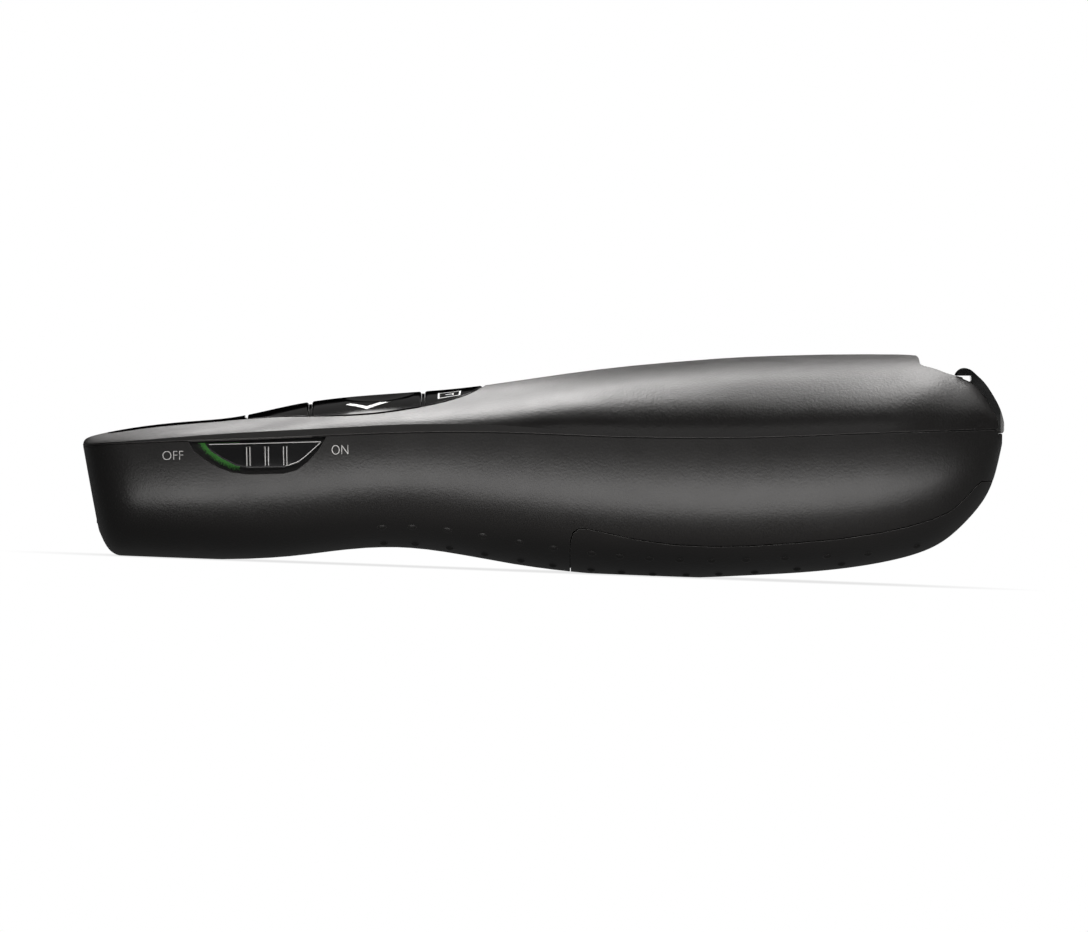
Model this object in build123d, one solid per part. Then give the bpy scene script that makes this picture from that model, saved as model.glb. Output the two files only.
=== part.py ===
"""A wireless presentation clicker, built as the separate pieces it is assembled from.

Everything is drawn in the shell frame first: x runs from the nose (laser end) to the tail along
the parting line, y is across (plus y is the user's right hand side when the nose points away),
z is up from the parting line.  The finished pieces are then tipped onto the table they rest on.
"""
import math
import os

from build123d import *

# ---------------------------------------------------------------- outer form, in mm
body_length = 115.1
wall = 1.6
groove_height = 0.15
groove_depth = 0.25
nose_corner_radius = 4.5
nose_bottom_radius = 3.0
nose_rake = 0.16
nose_rake_length = 24.0
seam_profile = [(0, 0.0), (12.5, 0.38), (30, 0.68), (41, 0.96), (52, 0.77), (60, 0.3), (67, -0.07),
                (75, -0.34), (82.3, -0.48), (90, -0.36), (97.3, -0.2), (105, -0.08), (115.1, 0.0)]
half_width_profile = [(0, 14.5), (12, 15.1), (24, 15.0), (36, 14.8), (48, 15.3), (62, 16.9), (74, 18.2),
                      (83, 18.9), (92, 18.7), (98, 18.1), (102, 17.2), (105, 15.9), (108, 14.3),
                      (110, 13.0), (112, 11.4), (113.5, 9.9), (114.5, 8.7), (115.1, 7.8)]
top_profile = [(0, 0.9), (2.4, 1.52), (7.8, 2.37), (13.8, 2.89), (19.8, 3.38), (25.9, 4.62), (30.4, 5.2),
               (36.4, 5.84), (42.5, 6.02), (48.5, 6.53), (56, 7.4), (65, 8.49), (74, 9.2), (83, 9.67),
               (92, 9.8), (98, 9.76), (104.3, 9.5), (107.5, 8.8), (110, 7.85), (111.8, 7.2),
               (113.2, 5.68), (114.3, 3.96), (115.1, 2.2)]
bottom_profile = [(0, 13.75), (6, 14.1), (12, 14.4), (18, 14.54), (24, 14.4), (30.1, 13.84), (36.5, 13.36),
                  (42.1, 13.61), (48.1, 14.7), (54.1, 15.87), (60.1, 16.77), (66.1, 17.44), (75.7, 17.89),
                  (85.3, 17.66), (92.1, 17.35), (99.8, 16.4), (104.1, 15.4), (106.5, 14.5), (108.6, 13.1),
                  (110.4, 11.5), (112.1, 9.6), (113.4, 7.6), (114.5, 4.6), (115.1, 2.0)]
upper_fullness = [(0, 0.56), (98, 0.56), (108, 0.66), (115.1, 0.7)]
lower_fullness = [(0, 0.68), (20, 0.64), (45, 0.58), (115.1, 0.58)]
rim_profile = [(0, 0.3), (8, 0.5), (22, 0.95), (36, 1.1), (48, 1.1), (60, 0.7), (75, 0.4), (115.1, 0.3)]
crease_profile = [(0, 1.0), (40, 1.0), (50, 0.75), (64, 0.0), (115.1, 0.0)]
section_stations = [0, 0.25, 0.9, 2.2, 4.5, 8, 13, 19, 26, 33, 40, 47, 54, 61, 68, 75, 82, 89, 96, 101,
                    104.5, 107.5, 109.8, 111.6, 113, 114.1, 115.1]
rest_flat_depth = 0.2
tab_spots = (9.0, 56.0)

# ---------------------------------------------------------------- clearances
running_play = 0.08
seat_gap = 0.02
key_gap = 0.32
door_gap = 0.12
cap_gap = 0.12
cell_play = 0.05

# ---------------------------------------------------------------- keys, bezel and board
opening_half = [(17.5, 7.0), (20.6, 8.3), (24.6, 10.6), (28.4, 12.0), (32.5, 12.6), (35.6, 12.7),
                (38.8, 12.3), (42.6, 11.4), (46.0, 9.9), (48.7, 7.4), (50.0, 4.2), (50.4, 0.0)]
opening_front = 3.0
strip_half_width = 7.0
strip_corner = 2.2
key_front = 20.6
nav_front = 28.5
nav_back = 42.65
bezel_lap = 1.3
bezel_depth = 2.9
bezel_lowest = 1.7
key_thickness = 1.2
key_travel = 0.6
key_edge_radius = 0.3
between_keys = 0.46
web_depth = 0.4
web_spots = [(20.1, 20.46), (28.37, 28.63), (42.52, 42.78)]
dish_radius = 17.0
dish_depth = 0.42
dish_centre = (36.3, 6.6)
key_spots = {"laser_key": (24.7, 0.0), "previous_key": (35.7, -6.2), "next_key": (35.7, 6.2),
             "slideshow_key": (46.0, -4.4), "blank_screen_key": (46.0, 4.4)}
plunger_radius = 1.3
collar_radius = 1.9
collar_height = 0.5
guide_pad_radius = 2.6
guide_drop = 3.6
plunger_tip_length = 1.0
board_top = -2.6
board_thickness = 1.0
board_front = 9.5
board_back = 57.6
board_half_width = 10.8
tact_size = 5.2
tact_height = 2.0
board_screw_spots = [(30.3, 0.0), (53.0, 0.0)]
light_spot = (12.0, 0.0)
light_radius = 0.9

# ---------------------------------------------------------------- power switch
recess_outline = [(13.1, 0.6), (13.85, -0.75), (15.3, -1.95), (17.0, -2.95), (18.6, -3.55), (20.7, -3.84),
                  (25.1, -3.8), (26.7, -3.4), (28.1, -2.4), (29.4, -1.0), (30.5, 0.7)]
slider_outline = [(15.3, 0.12), (15.95, -0.8), (17.4, -1.8), (19.1, -2.7), (20.6, -3.0), (25.2, -3.0),
                  (27.0, -2.45), (28.6, -1.1), (30.1, 0.2)]
flag_reach = 19.6
switch_travel = 1.8
recess_floor = 13.2
recess_floor_thickness = 1.0
flag_thickness = 0.2
slider_inset = 0.12
slider_rib_spots = [20.7, 23.0, 25.3]
slider_rib_width = 0.62
slider_rib_height = 0.26
lever_x = 22.9
lever_size = (1.5, 0.9)
lever_z = -1.65
slide_switch_size = (8.8, 3.4, 1.9)
slide_switch_back = 7.2

# ---------------------------------------------------------------- laser module
laser_axis = -7.2
window_radius = 2.5
window_thickness = 1.2
barrel_radius = 3.0
barrel_bore = 2.2
barrel_front = 3.6
barrel_length = 9.6

# ---------------------------------------------------------------- battery bay and door
cell_radius = 5.25
cell_length = 44.5
cell_nub = (1.9, 0.8)
cell_spread = 5.42
cell_axis = -6.15
bay_front = 60.2
contact_thickness = 0.25
spring_length = 2.0
spring_wire = 0.22
spring_radii = (3.0, 1.4)
spring_half_turns = 4
tray_wall = 0.9
tray_ceiling = 0.6
tray_half_width = 12.0
tray_wall_bottom = -11.2
door_edge = [(60.75, -40.0), (60.75, -14.2), (60.85, -12.9), (61.15, -11.95), (61.9, -11.42),
             (62.7, -11.42), (65.2, -12.0), (69.4, -13.0), (73.6, -13.65), (78.3, -13.98), (82.8, -14.0),
             (89.0, -13.72), (94.6, -13.3), (99.6, -12.62), (103.0, -11.96), (106.1, -11.1),
             (108.3, -10.2), (109.4, -9.35), (110.7, -8.1), (111.8, -6.95), (112.4, -6.5),
             (125.0, -6.4), (125.0, -40.0)]
hook_spots = [-6.0, 6.0]
hook_width = 4.0
hook_reach = 1.9
hook_thickness = 0.9
lap_depth = 0.45
lap_play = 0.06
lap_reach = 61.4
catch_width = 6.0
catch_height = 0.9

# ---------------------------------------------------------------- receiver
usb_plug = (12.0, 12.0, 4.5)
usb_shell_wall = 0.3
receiver_front = 73.2
receiver_half_width = 8.2
receiver_height = 5.9
receiver_wall = 0.9
cap_half_width = 8.4
cap_front = 110.4
cap_bottom = -0.44
cap_profile = [(109.42, 6.88), (109.55, 7.16), (109.84, 7.48), (110.24, 7.71), (110.71, 7.77), (111.26, 7.61),
               (111.88, 7.08), (112.8, 6.18), (113.72, 4.9), (114.48, 3.55), (115.08, 2.13), (115.38, 1.03),
               (115.49, 0.24), (115.35, -0.23), (115.12, -0.44)]
cap_inside = [(110.4, -0.44), (110.4, 5.6), (111.1, 5.7), (111.35, 6.1), (111.3, 6.85)]
cap_bow_radius = 60.0
lip_front = 109.42
lip_underside = 6.88
scoop_profile = [(104.28, 10.5), (104.38, 9.52), (104.58, 9.45), (104.72, 9.32), (104.82, 9.14), (104.88, 8.9),
                 (104.93, 8.55), (105.02, 8.4), (105.24, 8.27), (106.24, 7.86), (107.65, 7.41), (109.2, 6.91),
                 (111.5, 6.3), (111.5, 10.5)]
scoop_half_width = 8.9
rail_gap = 0.15
rail_wall = 0.8
rail_height = 5.2

# ---------------------------------------------------------------- grip dots (x, distance from middle)
dot_base_radius = 0.56
dot_height = 0.26
dot_rows = [
    [(37.2, 8.9), (41.0, 9.0), (45.4, 9.2), (49.8, 9.3), (54.4, 9.4), (58.6, 9.4), (63.4, 9.4), (66.9, 9.4),
     (70.6, 9.4), (74.4, 9.35), (78.4, 9.3), (82.7, 9.3), (87.6, 9.2), (92.9, 8.8), (98.0, 7.8), (104.2, 6.0)],
    [(37.4, 4.3), (41.3, 4.4), (45.6, 4.5), (50.0, 4.5), (54.5, 4.5), (58.5, 4.4), (63.3, 4.3), (67.1, 4.3),
     (71.0, 4.2), (75.2, 4.1), (79.3, 4.2), (83.8, 4.3), (89.1, 4.8), (94.7, 5.3)]]

far = 60.0
pieces = {}


# ================================================================ helpers
def through(points, power=1.0):
    """Return a smooth function running through the points without overshooting between them."""
    xs = [p[0] for p in points]
    ys = [p[1] ** power for p in points]
    count = len(xs)
    slopes = [(ys[i + 1] - ys[i]) / (xs[i + 1] - xs[i]) for i in range(count - 1)]
    inner = [0.0 if a * b <= 0 else 2 * a * b / (a + b) for a, b in zip(slopes, slopes[1:])]
    tangents = [slopes[0]] + inner + [slopes[-1]]

    def value(x):
        i = next((k for k in range(count - 1) if x < xs[k + 1]), count - 2)
        h = xs[i + 1] - xs[i]
        t = (x - xs[i]) / h
        start = (1 + 2 * t) * (1 - t) ** 2 * ys[i] + t * (1 - t) ** 2 * h * tangents[i]
        end = t * t * (3 - 2 * t) * ys[i + 1] + t * t * (t - 1) * h * tangents[i + 1]
        return max(start + end, 0.0) ** (1 / power) if power != 1.0 else start + end

    return value


seam = through(seam_profile)
half_width = through(half_width_profile, 2)
crown = through(top_profile)
keel = through(bottom_profile)
upper_full = through(upper_fullness)
lower_full = through(lower_fullness)
rim_height = through(rim_profile)
crease = through(crease_profile)


def rounding(x, radius, depth):
    """How far a rounded nose edge pulls the section in at x."""
    if x >= radius:
        return 0.0
    return depth * (1 - math.sqrt(1 - ((radius - x) / radius) ** 2))


def section(x, inset=0.0):
    """One closed cross-section of the body, leaning back at the nose.

    Above the parting line stands a short upright rim; at the front the shoulder turns in from it
    with a crease, and towards the tail it turns in smoothly.
    """
    level = seam(x)
    wide = half_width(x) - rounding(x, nose_corner_radius, nose_corner_radius) - inset
    up = crown(x) - level - rounding(x, 0.8, 0.5) - inset
    down = keel(x) + level - rounding(x, nose_bottom_radius, nose_bottom_radius) - inset
    lean = nose_rake * max(0.0, 1 - x / nose_rake_length) ** 2
    fu, fl, fold = upper_full(x), lower_full(x), crease(x)
    rim = max(0.02, min(rim_height(x), 0.4 * up))
    turn = (wide * (1 - 0.1 * fold), rim + (up - rim) * (fu * (1 - fold) + 0.43 * fold))
    over = (wide * (fu - 0.06 * fold), up)
    right = [[(wide, 0), (wide, rim)], [(wide, rim), turn, over, (0, up)]]
    under = [(0, -down), (wide * fl, -down), (wide, -down * fl), (wide, 0)]
    half = right + [under]
    left = [[(-y, z) for y, z in reversed(curve)] for curve in half]
    order = [half[0], half[1], left[1], left[0], left[2], half[2]]
    points = [[Vector(x - lean * z, y, level + z) for y, z in curve] for curve in order]
    return Wire([Line(*curve) if len(curve) == 2 else Bezier(*curve) for curve in points])


def hull(inset=0.0):
    """The whole body as one solid, drawn smaller all round by the inset."""
    inside = inset > 0.5
    start = inset + 0.2 if inside else 0.0
    stop = body_length - inset if inside else body_length
    middle = [x for x in section_stations if start + 0.4 < x < stop - 0.4]
    return Solid.make_loft([section(x, inset) for x in [start] + middle + [stop]])


def block(x1, x2, y1, y2, z1, z2):
    """A plain box given by its six limits."""
    return Pos((x1 + x2) / 2, (y1 + y2) / 2, (z1 + z2) / 2) * Box(x2 - x1, y2 - y1, z2 - z1)


def post(x, y, z1, z2, radius):
    """An upright cylinder."""
    return Pos(x, y, (z1 + z2) / 2) * Cylinder(radius, z2 - z1)


def rod(x1, x2, y, z, radius):
    """A cylinder lying along the body."""
    return Pos((x1 + x2) / 2, y, z) * Rot(0, 90, 0) * Cylinder(radius, x2 - x1)


def side_prism(points, y1, y2):
    """A side-view outline given a thickness across the body."""
    face = make_face(Plane.XZ * Polyline(*points, close=True))
    return Pos(0, y2, 0) * extrude(face, amount=y2 - y1, dir=(0, -1, 0))


def plan_prism(face, z1, z2):
    """A top-view outline given a height."""
    return Pos(0, 0, z1) * extrude(face, amount=z2 - z1, dir=(0, 0, 1))


def solid_of(shape):
    """The largest solid of a result, so a piece is always one solid."""
    return max(shape.solids(), key=lambda s: s.volume)


def skin_point(body, x, y, upward):
    """Where an upright line through (x, y) leaves the body, and the direction the skin faces."""
    hits = body.find_intersection_points(Axis((x, y, -far), (0, 0, 1)))
    ends = sorted(hits, key=lambda hit: hit[0].Z)
    return ends[-1] if upward else ends[0]


# ================================================================ the body and how it divides
outer = hull()
inner = hull(wall)
seam_line = Spline(*[(x, seam(x)) for x in (0, 12, 24, 36, 46, 56, 66, 76, 86, 96, 106, body_length)])
seam_box = [seam_line @ 1, (body_length + 10, seam(body_length)), (body_length + 10, -far), (-10, -far),
            (-10, seam(0)), seam_line @ 0]
below_face = make_face(Plane.XZ * (seam_line + Polyline(*seam_box)))
below = Pos(0, far, 0) * extrude(below_face, amount=2 * far, dir=(0, -1, 0))


def resting_pitch():
    """The lean, in degrees, at which the front foot and the belly both touch the table."""
    xs = [i * 0.25 for i in range(int(body_length / 0.25))]
    lean = 0.0
    for _ in range(12):
        c, s = math.cos(lean), math.sin(lean)
        heights = [(-x * s - keel(x) * c, x) for x in xs]
        front = min(h for h in heights if h[1] < 40)
        rear = min(h for h in heights if h[1] > 55)
        lean += math.atan2(front[0] - rear[0], (rear[1] - front[1])) * -1.0
    return math.degrees(lean)


pitch = resting_pitch()
print("resting pitch", round(pitch, 3))

table_normal = Vector(-math.sin(math.radians(pitch)), 0, math.cos(math.radians(pitch)))
lowest = min(table_normal.Z * -keel(x) + table_normal.X * x for x in [i * 0.25 for i in range(460)])
table_plane = Plane(origin=table_normal * (lowest + rest_flat_depth), x_dir=(table_normal.Z, 0, -table_normal.X),
                    z_dir=table_normal)
above_table = table_plane * Pos(0, 0, far) * Box(6 * far, 4 * far, 2 * far)

trimmed = outer & above_table
lower = trimmed & below
upper = trimmed - below
door_area = side_prism(door_edge, -far, far)
cover_area = side_prism([(x - door_gap * (x < 62), z + door_gap * (x > 60)) for x, z in door_edge], -far, far)

# ================================================================ plan outlines of the key opening
def opening_outline(grow):
    """The key opening seen from above, drawn larger all round (or smaller) by grow."""
    rim = Spline(*opening_half, tangents=[(1, 0), (0, -1)])
    spots = [rim.position_at(i / 12) for i in range(13)]
    facing = [rim.tangent_at(i / 12) for i in range(13)]
    moved = [(p.X - t.Y * grow, p.Y + t.X * grow) for p, t in zip(spots, facing)]
    edge = Spline(*moved, tangents=[(1, 0), (0, -1)])
    turn = CenterArc((opening_front + strip_corner, strip_half_width - strip_corner), strip_corner + grow, 90, 90)
    side = Line((opening_front + strip_corner, strip_half_width + grow), moved[0])
    half = edge + side + turn
    front_x = opening_front - grow
    front = Line((front_x, strip_half_width - strip_corner), (front_x, strip_corner - strip_half_width))
    return make_face(half + half.mirror(Plane.XZ) + front)


opening_prism = plan_prism(opening_outline(0.0), -1.0, 20.0)
bezel_room = block(0, key_front, -9, 9, -1, 20) + block(key_front - 1, 60, -20, 20, bezel_lowest, 20)
lap_prism = plan_prism(opening_outline(bezel_lap), -1.0, 20.0) & bezel_room
key_prism = plan_prism(opening_outline(-key_gap), -1.0, 20.0)
strip_area = block(opening_front - 1, key_front - key_gap, -strip_half_width - 2, strip_half_width + 2, -1, 20)
strip_prism = plan_prism(opening_outline(-seat_gap), -1.0, 20.0) & strip_area
key_field = opening_prism & block(key_front - key_gap, 60, -20, 20, -1, 20)

skin_key = hull(key_thickness)
skin_seat = hull(wall + seat_gap)
skin_recess = hull(key_thickness + key_travel + 0.1)
skin_bezel = hull(bezel_depth)
skin_tab = hull(wall + 0.1)
skin_tab_inner = hull(wall + 0.9)
skin_pocket = hull(wall / 2)

# ================================================================ keys and bezel
bezel = solid_of(((skin_seat - skin_bezel) & lap_prism) + ((outer - skin_bezel) & strip_prism))
bezel = solid_of(bezel - (key_field & (outer - skin_recess)))

web_area = (hull(web_depth) - skin_bezel) & key_prism
for x1, x2 in web_spots:
    bezel = bezel + (block(x1, x2, -20, 20, -1, 20) & web_area)

key_areas = {
    "laser_key": block(key_front, nav_front - between_keys / 2, -20, 20, -1, 20),
    "next_key": block(nav_front + between_keys / 2, nav_back - between_keys / 2, key_gap / 2, 20, -1, 20),
    "blank_screen_key": block(nav_back + between_keys / 2, 60, key_gap / 2, 20, -1, 20)}
left_twins = {"next_key": "previous_key", "blank_screen_key": "slideshow_key"}
key_shell = outer - skin_key
for name, area in key_areas.items():
    cap = solid_of(key_shell & (key_prism & area))
    rim = [e for e in cap.edges() if skin_point(outer, e.center().X, e.center().Y, True)[0].Z - e.center().Z < 0.25]
    cap = solid_of(fillet(rim, key_edge_radius))
    if name == "next_key":
        dx, dy = dish_centre
        dish_top = skin_point(outer, dx, dy, True)[0].Z
        cap = solid_of(cap - Pos(dx, dy, dish_top + dish_radius - dish_depth) * Sphere(dish_radius))
    pieces[name] = cap
    if name in left_twins:
        pieces[left_twins[name]] = solid_of(cap.mirror(Plane.XZ))

switch_top = board_top + tact_height
bore_depth = plunger_tip_length + key_travel + 0.15
for name, (x, y) in key_spots.items():
    seat = skin_point(outer, x, y, True)[0].Z - guide_drop
    bezel = bezel + (post(x, y, seat, 20, guide_pad_radius) & skin_recess)
    bezel = bezel - post(x, y, -5, 20, plunger_radius + running_play)
    collar_top = seat - seat_gap
    stem = post(x, y, switch_top - plunger_tip_length, 20, plunger_radius) & skin_key
    stem = stem + post(x, y, collar_top - collar_height, collar_top, collar_radius)
    pieces[name + "_plunger"] = solid_of(stem)
    body = block(x - tact_size / 2, x + tact_size / 2, y - tact_size / 2, y + tact_size / 2, board_top, switch_top)
    bore = post(x, y, switch_top - bore_depth, switch_top + 1, plunger_radius + running_play)
    pieces[name + "_switch"] = solid_of(body - bore)

lx, ly = light_spot
pipe_hole = post(lx, ly, -10, 20, light_radius + seat_gap)
bezel = solid_of(bezel - pipe_hole)
pieces["key_bezel"] = bezel
led_top = board_top + 0.7
pieces["status_led"] = block(lx - 0.8, lx + 0.8, ly - 0.5, ly + 0.5, board_top, led_top)
pieces["status_light_pipe"] = solid_of(post(lx, ly, led_top + seat_gap, 20, light_radius) & outer)
print("keys done", {n: round(p.volume, 1) for n, p in pieces.items()})

# ================================================================ main board
board = block(board_front, board_back, -board_half_width, board_half_width, board_top - board_thickness, board_top)
board = fillet(board.edges().filter_by(Axis.Z), 3.0)
for x, y in board_screw_spots:
    board = board - post(x, y, -10, 10, 1.0)
pieces["main_board"] = solid_of(board)
under = board_top - board_thickness
pieces["radio_chip"] = block(38.0, 43.0, -2.5, 2.5, under - 0.9, under)
pieces["crystal"] = solid_of(fillet(block(45.0, 48.2, -1.25, 1.25, under - 0.8, under).edges().filter_by(Axis.Z), 0.5))


def screw(x, y, head_z, upward, length, head_radius, shank_radius):
    """A pan-head screw; upward is 1 when the shank points up from the head's seat, -1 when it points down."""
    head = Pos(0, 0, -0.5) * Cylinder(head_radius, 1.0)
    head = fillet(head.edges().group_by(Axis.Z)[0], 0.35)
    slot = Pos(0, 0, -0.85) * Box(0.5, head_radius * 1.3, 0.5) + Pos(0, 0, -0.85) * Box(head_radius * 1.3, 0.5, 0.5)
    body = head + Pos(0, 0, length / 2) * Cylinder(shank_radius, length) - slot
    turn = Rot(0, 0, 0) if upward > 0 else Rot(180, 0, 0)
    return solid_of(Pos(x, y, head_z) * turn * body)


for name, (x, y) in zip(("board_screw_front", "board_screw_rear"), board_screw_spots):
    pieces[name] = screw(x, y, board_top, -1, 5.0, 1.6, 0.8)
print("board done")

# ================================================================ power switch
recess = side_prism(recess_outline, -far, -recess_floor)
backing_outline = offset(make_face(Plane.XZ * Polyline(*recess_outline, close=True)), 1.2)
backing = extrude(backing_outline, amount=far, dir=(0, -1, 0))
backing = backing & block(0, 60, -far, -recess_floor + recess_floor_thickness, -20, 20)
backing = backing & skin_pocket & below
slot_half = lever_size[0] / 2 + running_play
lever_top, lever_low = lever_z + lever_size[1] / 2, lever_z - lever_size[1] / 2
slot = block(lever_x - switch_travel - slot_half, lever_x + slot_half, -recess_floor - 0.1,
             -recess_floor + recess_floor_thickness + 0.1, lever_low - running_play, lever_top + running_play)

skin_slider = hull(slider_inset)
slider_back = recess_floor + flag_thickness + 0.05
slider = skin_slider & side_prism(slider_outline, -far, -slider_back)
slider = solid_of(slider)
rib_skin = hull(slider_inset - slider_rib_height)
for x in slider_rib_spots:
    rib = block(x - slider_rib_width / 2, x + slider_rib_width / 2, -far, -slider_back - 0.5, -2.85, -0.35)
    slider = slider + (rib & rib_skin)
lever_end = slider_back + 0.6
lever_socket = block(lever_x - lever_size[0] / 2 - seat_gap, lever_x + lever_size[0] / 2 + seat_gap, -lever_end,
                     -slider_back + 1, lever_low - seat_gap, lever_top + seat_gap)
pieces["power_slider"] = solid_of(slider - lever_socket)
switch_length, switch_depth, switch_height = slide_switch_size
switch_face = slide_switch_back + switch_depth
lever_root = switch_face - 2.0
pieces["switch_lever"] = block(lever_x - lever_size[0] / 2, lever_x + lever_size[0] / 2, -lever_end, -lever_root,
                               lever_low, lever_top)
middle = lever_x - switch_travel / 2
switch_body = block(middle - switch_length / 2, middle + switch_length / 2, -switch_face, -slide_switch_back,
                    board_top, board_top + switch_height)
lever_way = block(lever_x - switch_travel - slot_half, lever_x + slot_half, -switch_face - 1, -lever_root + 0.1,
                  lever_low - running_play, lever_top + running_play)
pieces["slide_switch"] = solid_of(switch_body - lever_way)
flag_area = side_prism([(x + (0.25 if x < 20 else 0), z + 0.25) for x, z in recess_outline], -far, far)
flag = flag_area & block(recess_outline[0][0], flag_reach, -recess_floor - flag_thickness, -recess_floor, -20, 0.2)
pieces["power_flag"] = solid_of(flag)
print("switch done")

# ================================================================ laser module
window_front = nose_rake * -laser_axis + 0.25
window_back = window_front + window_thickness
pieces["laser_window"] = rod(window_front, window_back, 0, laser_axis, window_radius)
barrel_start = max(barrel_front, window_back + seat_gap)
barrel_end = barrel_start + barrel_length
barrel = rod(barrel_start, barrel_end, 0, laser_axis, barrel_radius)
pieces["laser_barrel"] = solid_of(barrel - rod(barrel_start - 1, barrel_end + 1, 0, laser_axis, barrel_bore))
lens = rod(barrel_start + 0.8, barrel_start + 2.0, 0, laser_axis, barrel_bore)
bulge = Pos(barrel_start + 0.8 + 4.0, 0, laser_axis) * Sphere(4.4)
pieces["laser_lens"] = solid_of(lens & bulge)
diode = rod(barrel_end - 3.2, barrel_end - 1.2, 0, laser_axis, barrel_bore * 0.8)
diode = diode + rod(barrel_end - 1.2, barrel_end, 0, laser_axis, barrel_bore)
pieces["laser_diode"] = solid_of(diode)
cradle = block(barrel_start + 1.5, barrel_end - 1.5, -barrel_radius - 1.3, barrel_radius + 1.3, -20, laser_axis)
cradle = (cradle & skin_pocket) - rod(0, 30, 0, laser_axis, barrel_radius)
window_hole = rod(-5, window_back, 0, laser_axis, window_radius)
aperture_tunnel = rod(window_back - 0.2, barrel_start, 0, laser_axis, window_radius - 0.6)

# ================================================================ battery bay
left_front = bay_front + contact_thickness
left_back = left_front + cell_length
bay_back = left_back + spring_length + contact_thickness


def cell(nub_at_front, y):
    """An AAA cell lying along the body, its raised nub at the front or at the rear."""
    nub_radius, nub_length = cell_nub
    body = rod(0, cell_length - nub_length, 0, 0, cell_radius)
    body = fillet(body.edges().filter_by(GeomType.CIRCLE), 0.4)
    body = body + rod(cell_length - nub_length - 0.1, cell_length, 0, 0, nub_radius)
    turn = Pos(cell_length, 0, 0) * Rot(0, 0, 180) if nub_at_front else Pos(spring_length, 0, 0)
    return solid_of(Pos(left_front, y, cell_axis) * turn * body)


pieces["battery_left"] = cell(True, -cell_spread)
pieces["battery_right"] = cell(False, cell_spread)


def contact(x, y1, y2):
    """A thin contact plate standing across the bay."""
    plate = block(x, x + contact_thickness, y1, y2, cell_axis - 3.4, cell_axis + 3.4)
    return solid_of(fillet(plate.edges().filter_by(Axis.X), 0.6))


pieces["contact_positive"] = contact(bay_front, -cell_spread - 3.6, -cell_spread + 3.6)
pieces["contact_negative"] = contact(bay_front, cell_spread - 3.6, cell_spread + 3.6)
pieces["contact_bridge"] = contact(bay_back - contact_thickness, -cell_spread - 3.6, cell_spread + 3.6)


def coil_spring(x_wide, x_narrow, y):
    """A short conical coil, bent from half turns that lean a little and grow narrower one by one.

    Its wide end stands on the contact plate.
    """
    wide, narrow = spring_radii
    reach = abs(x_narrow - x_wide) - 2 * spring_wire
    ends = []
    for i in range(spring_half_turns + 1):
        along = i / spring_half_turns
        ends.append(Vector((-1) ** i * (wide + (narrow - wide) * along), 0, reach * along))
    coil = None
    for start, end in zip(ends, ends[1:]):
        hinge = Axis((start + end) * 0.5, (end - start).cross(Vector(0, 1, 0)))
        wire_end = Plane(origin=start, x_dir=(1, 0, 0), z_dir=(0, 1, 0)) * Circle(spring_wire)
        half_turn = revolve(wire_end, hinge, 180)
        coil = half_turn if coil is None else coil + half_turn
    turn = Rot(0, 90, 0) if x_narrow > x_wide else Rot(0, -90, 0)
    foot = x_wide + math.copysign(spring_wire, x_narrow - x_wide)
    return solid_of(Pos(foot, y, cell_axis) * turn * coil)


pieces["spring_negative"] = coil_spring(left_front, left_front + spring_length, cell_spread)
pieces["spring_bridge"] = coil_spring(bay_back - contact_thickness, left_back, -cell_spread)

ceiling_low = cell_axis + cell_radius + cell_play
ceiling_top = ceiling_low + tray_ceiling
tray_front = bay_front - tray_wall
tray_back = bay_back + tray_wall
tray_room = hull(wall + 0.45)
shell_room = hull(wall + seat_gap)
bay_inside = block(bay_front, bay_back, -tray_half_width + tray_wall, tray_half_width - tray_wall, -30, ceiling_low)
tray_box = block(tray_front, tray_back, -tray_half_width, tray_half_width, tray_wall_bottom, ceiling_top)
tray = (tray_box - bay_inside) & tray_room
flange = block(tray_front, tray_back, -20, 20, ceiling_low, ceiling_top) & shell_room
cusp = side_prism([(bay_front, ceiling_low), (bay_front, ceiling_low - 1.6), (bay_front + 3, ceiling_low - 1.6),
                   (bay_front + 3, ceiling_low)], -0.6, 0.6)
rib_back = block(bay_back - 6, bay_back, -0.5, 0.5, ceiling_low - 1.8, ceiling_low)
tray = tray + flange + (cusp + rib_back)
screw_x = 67.0
receiver_bottom = ceiling_top + seat_gap
rails = block(receiver_front - 1.4, tray_back, -receiver_half_width - rail_gap - rail_wall,
              receiver_half_width + rail_gap + rail_wall, ceiling_top - 0.1, ceiling_top + rail_height)
rails = rails - block(receiver_front - 0.4, 120, -receiver_half_width - rail_gap, receiver_half_width + rail_gap,
                      -10, 20)
rails = rails & shell_room
tray = tray + rails
tray = tray - post(screw_x, 0, -20, 20, 1.25)
pieces["battery_tray"] = solid_of(tray)
pieces["housing_screw"] = screw(screw_x, 0, ceiling_low, 1, 5.5, 2.0, 1.0)
print("bay done")

# ================================================================ the stored receiver
plug_length, plug_width, plug_height = usb_plug
usb_z = receiver_bottom + receiver_height / 2
usb_back = receiver_front + plug_length
sleeve = block(receiver_front, usb_back, -plug_width / 2, plug_width / 2, usb_z - plug_height / 2, usb_z + plug_height / 2)
sleeve = fillet(sleeve.edges().filter_by(Axis.X), 0.4)
hollow = block(receiver_front - 1, usb_back + 1, -plug_width / 2 + usb_shell_wall, plug_width / 2 - usb_shell_wall,
               usb_z - plug_height / 2 + usb_shell_wall, usb_z + plug_height / 2 - usb_shell_wall)
sleeve = sleeve - hollow
for x in (receiver_front + 5.0,):
    for y in (-2.9, 2.9):
        sleeve = sleeve - block(x, x + 2.2, y - 1.1, y + 1.1, usb_z, usb_z + 5)
pieces["usb_shell"] = solid_of(sleeve)
tongue_z = usb_z + plug_height / 2 - usb_shell_wall - 1.9
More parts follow.
